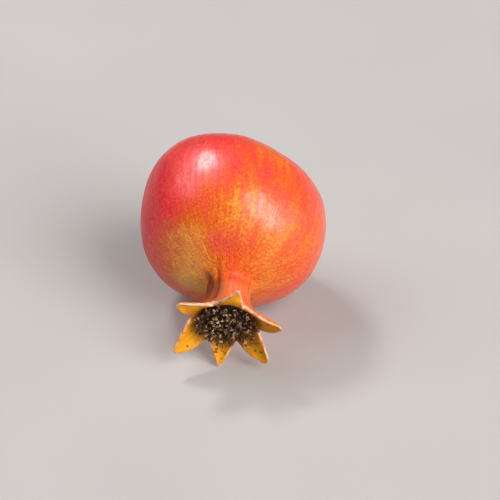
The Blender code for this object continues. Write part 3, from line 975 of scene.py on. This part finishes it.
def model_curled_anther(name, tube, opening, squash):
    """An anther that dried into an open curl: a ring with a gap, closed at both of its ends."""
    made = start(
        bpy.ops.mesh.primitive_torus_add,
        name,
        major_segments=12,
        minor_segments=5,
        major_radius=ANTHER_LENGTH * 0.42,
        minor_radius=ANTHER_WIDTH * tube,
    )
    half = math.radians(opening / 2)
    select_where(made, "FACE", lambda face: abs(math.atan2(face.center.y, face.center.x)) < half)
    bpy.ops.mesh.delete(type="FACE")
    bpy.ops.mesh.select_mode(type="EDGE")
    bpy.ops.mesh.select_non_manifold()
    bpy.ops.mesh.fill_holes(sides=6)
    bpy.ops.mesh.select_all(action="SELECT")
    bpy.ops.transform.resize(value=(1.0, squash, 1.3))
    face_outwards()
    for vertex in made.data.vertices:
        vertex.co.z += CURL_SLANT * vertex.co.y
    return made


anthers = [
    model_pinched_anther("pinched_anther"),
    model_curled_anther("open_curl", 0.26, 100, 0.8),
    model_curled_anther("tight_curl", 0.32, 65, 0.6),
]
print("anther faces:", [len(anther.data.polygons) for anther in anthers])

# %% [markdown]
# A sunflower's golden angle spreads roots evenly over a disc with no rows showing. Each stamen
# leans outwards, more so near the wall, and its lean is drawn back step by step until it is clear
# of the rind, which a tree of the rind's faces can tell quickly.

# %% Spread the stamens
STAMENS = 330
BED_RADIUS = 0.0113
BED_HEIGHT = 0.0552
# the roots' share of the bed, which leaves a gap to the wall
ROOTED_SHARE = 0.94
GOLDEN_ANGLE = math.radians(137.508)
LEAN_AT_MIDDLE = 0.1
LEAN_TO_EDGE = 1.1
LEAN_SPREAD = 0.35
LEAN_STEP = 0.1
SWAY = 0.4
STAMEN_SCALES = (0.62, 1.12)
# share of the way up a stamen, and the least distance to the rind there
LEAST_GAPS = ((0.5, 0.00050), (0.8, 0.00075), (1.0, 0.00115))
draw = random.Random(11)
rind_faces = BVHTree.FromObject(rind, bpy.context.evaluated_depsgraph_get())


def lean_matrix(root, way, twist, scale):
    """Puts a stamen's foot at root and its +Z along way, both in the growth frame."""
    turn = Vector((0, 0, 1)).rotation_difference(way).to_matrix().to_4x4()
    spin = Matrix.Rotation(twist, 4, "Z")
    return to_scene @ Matrix.Translation(root) @ turn @ spin @ Matrix.Scale(scale, 4)


def clearance(point):
    return rind_faces.find_nearest(to_scene @ point)[3]


def stamen_way(root, azimuth, lean, sway, reach):
    """The direction a stamen can take without touching the rind."""
    while True:
        way = (around(lean, azimuth, 1.0) + sway * (0.3 + abs(lean))).normalized()
        gaps = [clearance(root + way * reach * part) for part, _ in LEAST_GAPS]
        if all(gap > least for gap, (_, least) in zip(gaps, LEAST_GAPS)):
            return way
        lean -= LEAN_STEP


placed = []
for index in range(STAMENS):
    share = (index + 0.5) / STAMENS
    azimuth = index * GOLDEN_ANGLE
    root = around(BED_RADIUS * ROOTED_SHARE * math.sqrt(share), azimuth, BED_HEIGHT)
    lean = LEAN_AT_MIDDLE + LEAN_TO_EDGE * share + draw.uniform(-LEAN_SPREAD, LEAN_SPREAD)
    sway = Vector((draw.uniform(-SWAY, SWAY), draw.uniform(-SWAY, SWAY), 0))
    scale = draw.uniform(*STAMEN_SCALES)
    reach = FILAMENT_STEP * len(BENDS[0]) * scale
    way = stamen_way(root, azimuth, lean, sway, reach)
    placed.append((root, way, draw.uniform(0, 2 * math.pi), scale, draw.randrange(len(BENDS))))
print("stamens placed:", len(placed))

# %% [markdown]
# Every copy gets its own mesh with its place applied to the vertices, and a stored number tells
# the material how pale it is: near 0 for a dark filament and up to 1 for a bleached anther.

# %% Copy the stamens


def stamp(source, matrix, low, high):
    """A copy of the source with its place in its mesh, and a paleness that runs from low to high."""
    made = bpy.data.objects.new(source.name, source.data.copy())
    bpy.context.scene.collection.objects.link(made)
    count = len(made.data.vertices)
    places = np.empty(count * 3)
    made.data.vertices.foreach_get("co", places)
    heights = places.reshape(-1, 3)[:, 2]
    share = (heights - heights.min()) / max(float(np.ptp(heights)), 1e-9)
    store(made, "pale", low + (high - low) * share)
    made.data.transform(matrix)
    return made


def join(things, name):
    bpy.ops.object.select_all(action="DESELECT")
    for thing in things:
        thing.select_set(True)
    bpy.context.view_layer.objects.active = things[0]
    bpy.ops.object.join()
    things[0].name = name
    return things[0]


# share of bleached anthers halfway out on the bed, and how fast it falls outwards, per metre
BLEACHED_SHARE = 0.42
BLEACHED_FALL = 12
copies = []
for root, way, twist, scale, kind in placed:
    matrix = lean_matrix(root, way, twist, scale)
    paleness = draw.uniform(0.05, 0.24)
    copies.append(stamp(filaments[kind], matrix, paleness * 0.4, paleness))
    reach = sum((Vector((x, y, 1.0)) * FILAMENT_STEP for x, y in BENDS[kind]), Vector())
    turn_axis = Vector((draw.uniform(-1, 1), 1, draw.uniform(-1, 1)))
    tumble = Matrix.Rotation(draw.uniform(0, math.pi), 4, turn_axis)
    head = matrix @ Matrix.Translation(reach) @ tumble @ Matrix.Scale(draw.uniform(0.6, 1.15), 4)
    outwards = root.xy.length - 0.5 * BED_RADIUS
    bleached = draw.random() < BLEACHED_SHARE - BLEACHED_FALL * outwards
    pale = draw.uniform(0.62, 1.0) if bleached else draw.uniform(0.15, 0.5)
    copies.append(stamp(draw.choice(anthers), head, pale * 0.7, pale))
print("copies:", len(copies))

# %% [markdown]
# Under the tuft the filaments are packed so tightly that only a dark bed shows. It is a disc that
# is extruded down into the cup and narrowed, inset and domed on top, and then roughened.

# %% The bed of packed filaments
# how far each step goes down into the cup, and how much it narrows
BED_STEPS = ((-0.0030, 0.86), (-0.0030, 0.88), (-0.0028, 0.92))
bed = start_disc("stamen_bed", 48, BED_RADIUS)
for drop, narrowing in BED_STEPS:
    pull((0, 0, drop), narrowing)
face_outwards()
select_where(bed, "FACE", lambda face: face.normal.z > 0.9)
for _ in range(5):
    bpy.ops.mesh.inset(thickness=BED_RADIUS / 6, depth=0.0002)
bpy.ops.object.mode_set(mode="OBJECT")
bed.data.transform(to_scene @ Matrix.Translation((0, 0, BED_HEIGHT)))
apply_modifier(bed, "SUBSURF", levels=1, render_levels=1)
apply_modifier(
    bed,
    "DISPLACE",
    texture=clouds("bed_clouds", 0.0012),
    texture_coords="LOCAL",
    strength=0.0005,
    mid_level=0.9,
)
store(bed, "pale", np.full(len(bed.data.vertices), 0.06))
print("bed faces:", len(bed.data.polygons))

# %% [markdown]
# Ripe tufts shed, and crumbs of anthers lie on the sepals, most of them on the lower ones. Each is
# thrown at a random place just outside the ring and laid on the nearest face of the rind, unless
# that is a rim or too far away. Then the bed and all the copies are joined into one piece.

# %% Fallen anthers
# first and last azimuth in degrees, and how many lie between them
FALLEN = ((240, 290, 28), (290, 335, 30), (195, 232, 4), (350, 385, 4))
# how far out from the ring they lie, and a power that gathers them near it
FALLEN_REACH = 0.0058
FALLEN_GATHERING = 1.7
FARTHEST_FACE = 0.004
FALLEN_PALENESS = (0.12, 0.2, 0.35, 0.8)
FALLEN_SCALES = (0.3, 0.65)


def lay_on(spot, normal, source, scale, pale):
    """Lays a copy on its side on a place of the rind."""
    turn = Vector((0, 0, 1)).rotation_difference(normal).to_matrix().to_4x4()
    tip = Matrix.Rotation(math.radians(90), 4, "X") @ Matrix.Rotation(draw.uniform(0, 2 * math.pi), 4, "Y")
    lift = Matrix.Translation((0, 0, ANTHER_WIDTH * 0.26 * scale))
    matrix = Matrix.Translation(spot) @ turn @ lift @ tip @ Matrix.Scale(scale, 4)
    return stamp(source, matrix, pale * 0.8, pale)


for first, last, count in FALLEN:
    lying = 0
    while lying < count:
        azimuth = math.radians(draw.uniform(first, last))
        reach = RING_RADIUS + 0.0002 + FALLEN_REACH * draw.random() ** FALLEN_GATHERING
        point = around(reach, azimuth, RING_HEIGHT + (reach - RING_RADIUS) * 0.9 + 0.0022)
        spot, normal, _, gap = rind_faces.find_nearest(to_scene @ point)
        on_sepal = gap < FARTHEST_FACE and edges.find(to_growth @ spot)[2] > RIM_WIDTH
        if on_sepal:
            pale = draw.choice(FALLEN_PALENESS)
            copies.append(lay_on(spot, normal, draw.choice(anthers), draw.uniform(*FALLEN_SCALES), pale))
            lying += 1
stamens = join([bed] + copies, "stamens_tuft")
for source in filaments + anthers:
    bpy.data.objects.remove(source)
stamens.data.shade_smooth()
print("stamens:", len(stamens.data.polygons), "faces")

# %% [markdown]
# Dry plant fibre is dull. The stored paleness runs the colour from near black at the roots
# through brown to the cream of a bleached anther, and dusty specks lie over it.

# %% Stamens' material
DRY_STOPS = (
    (0.00, (32, 17, 9)),
    (0.18, (62, 34, 17)),
    (0.42, (114, 74, 38)),
    (0.72, (172, 140, 94)),
    (1.00, (212, 194, 158)),
)
material, tree, shader = new_material("dried_stamens")
place = object_place(tree)
grain = noise(tree, place, 2600.0, 2.0)
pale = ruffle(tree, stored(tree, "pale"), grain, 0.25)
dry = colour_ramp(tree, pale, DRY_STOPS)
dry = tint(tree, dry, (176, 140, 84), specks(tree, place, 1500.0, 0.2), 0.35)
tree.links.new(dry, shader.inputs["Base Color"])
shader.inputs["Roughness"].default_value = 0.82
give_relief(tree, shader, grain, 0.00012, 0.6)
stamens.data.materials.append(material)
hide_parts("stamens")
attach(stamens, "root")
print("stamens finished")

# %% [markdown]
# ## The stalk
# The stub is a bit of twig: a foot that flares into the dimple, a waist, and the clean cut of the
# secateurs. A disc is extruded ring by ring in edit mode, and small inward moves give it bark,
# which stops short of the cut so that its rim stays crisp.

# %% Model the stalk
STALK_SIDES = 28
stalk_heights = growth_arrays(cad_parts["stalk"])[0][:, 2]
foot, cut = float(stalk_heights.max()), float(stalk_heights.min())
STALK_RINGS = (
    # share of the way from the foot to the cut, radius
    (0.00, 0.00286),
    (0.07, 0.00300),
    (0.20, 0.00255),
    (0.40, 0.00228),
    (0.62, 0.00214),
    (0.84, 0.00220),
    (0.95, 0.00214),
    (1.00, 0.00190),
)
stalk = start_disc("stalk_stub", STALK_SIDES, STALK_RINGS[0][1])
for (before, width_before), (after, width) in zip(STALK_RINGS, STALK_RINGS[1:]):
    pull((0, 0, (after - before) * (cut - foot)), width / width_before)
for _ in range(3):
    bpy.ops.mesh.inset(thickness=STALK_RINGS[-1][1] / 4)
face_outwards()
stalk.data.transform(to_scene @ Matrix.Translation((0, 0, foot)))
apply_modifier(stalk, "SUBSURF", levels=2, render_levels=2)
print("stalk faces:", len(stalk.data.polygons))

# %% Bark and cut end
STALK_RADIUS = 0.0022
BARK_DEPTH = 0.00022
# waves round the twig, slant along it in radians per metre, and phase
BARK_FURROWS = ((7, 300, 0.0), (13, -200, 1.3))
places, normals = growth_arrays(stalk)
_, azimuth, height = polar(places)
on_bark = between(height, (cut + 0.0002, cut + 0.0008), (foot - 0.0003, foot))
furrows = np.full(len(places), 0.5)
for waves, slant, phase in BARK_FURROWS:
    furrows += 0.25 * np.cos(waves * azimuth + slant * height + phase)
set_growth_places(stalk, places - normals * (on_bark * furrows * BARK_DEPTH)[:, None])
places, normals = growth_arrays(stalk)
radius, _, height = polar(places)
store(stalk, "cut_end", ease(-normals[:, 2], 0.75, 0.95) * (height < cut + 0.0006))
store(stalk, "from_axis", radius / STALK_RADIUS)
stalk.data.shade_smooth()
print("bark depth %.2f mm" % (BARK_DEPTH * 1000))

# %% [markdown]
# Bark is grey brown with fine furrows along the twig and pale pores. The cut shows yellowish
# wood in thin rings round a brown pith, drying darker towards the bark. Rings and pith follow the
# stored distance from the axis, which is simpler than placing a wood texture on the cut.

# %% Stalk's material
BARK_STOPS = ((0.30, (66, 48, 34)), (0.50, (124, 100, 76)), (0.72, (170, 150, 124)))
WOOD_STOPS = (
    (0.10, (104, 76, 44)),
    (0.24, (206, 178, 122)),
    (0.70, (188, 156, 102)),
    (0.95, (96, 70, 44)),
)
material, tree, shader = new_material("stalk_wood")
place = object_place(tree)
grown = place_group(tree, growth_group, {"Place": place})
furrow = streak_noise(tree, grown, 9, 60, 4.0, 0.65)
bark = colour_ramp(tree, furrow, BARK_STOPS)
bark = tint(tree, bark, (196, 180, 150), specks(tree, place, 1100.0, 0.2), 0.6)
from_axis = stored(tree, "from_axis")
wavy = ruffle(tree, from_axis, noise(tree, place, 900.0), 0.08)
rings = calculate(tree, "SINE", product(tree, wavy, 26.0))
wood = colour_ramp(tree, calculate(tree, "MULTIPLY_ADD", rings, 0.12, from_axis), WOOD_STOPS)
colour = blend_colours(tree, stored(tree, "cut_end"), bark, wood)
tree.links.new(colour, shader.inputs["Base Color"])
shader.inputs["Roughness"].default_value = 0.78
relief = calculate(tree, "ADD", furrow, product(tree, rings, 0.1))
give_relief(tree, shader, relief, 0.0003, 0.7)
stalk.data.materials.append(material)
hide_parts("stalk")
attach(stalk, "root")
print("stalk finished")
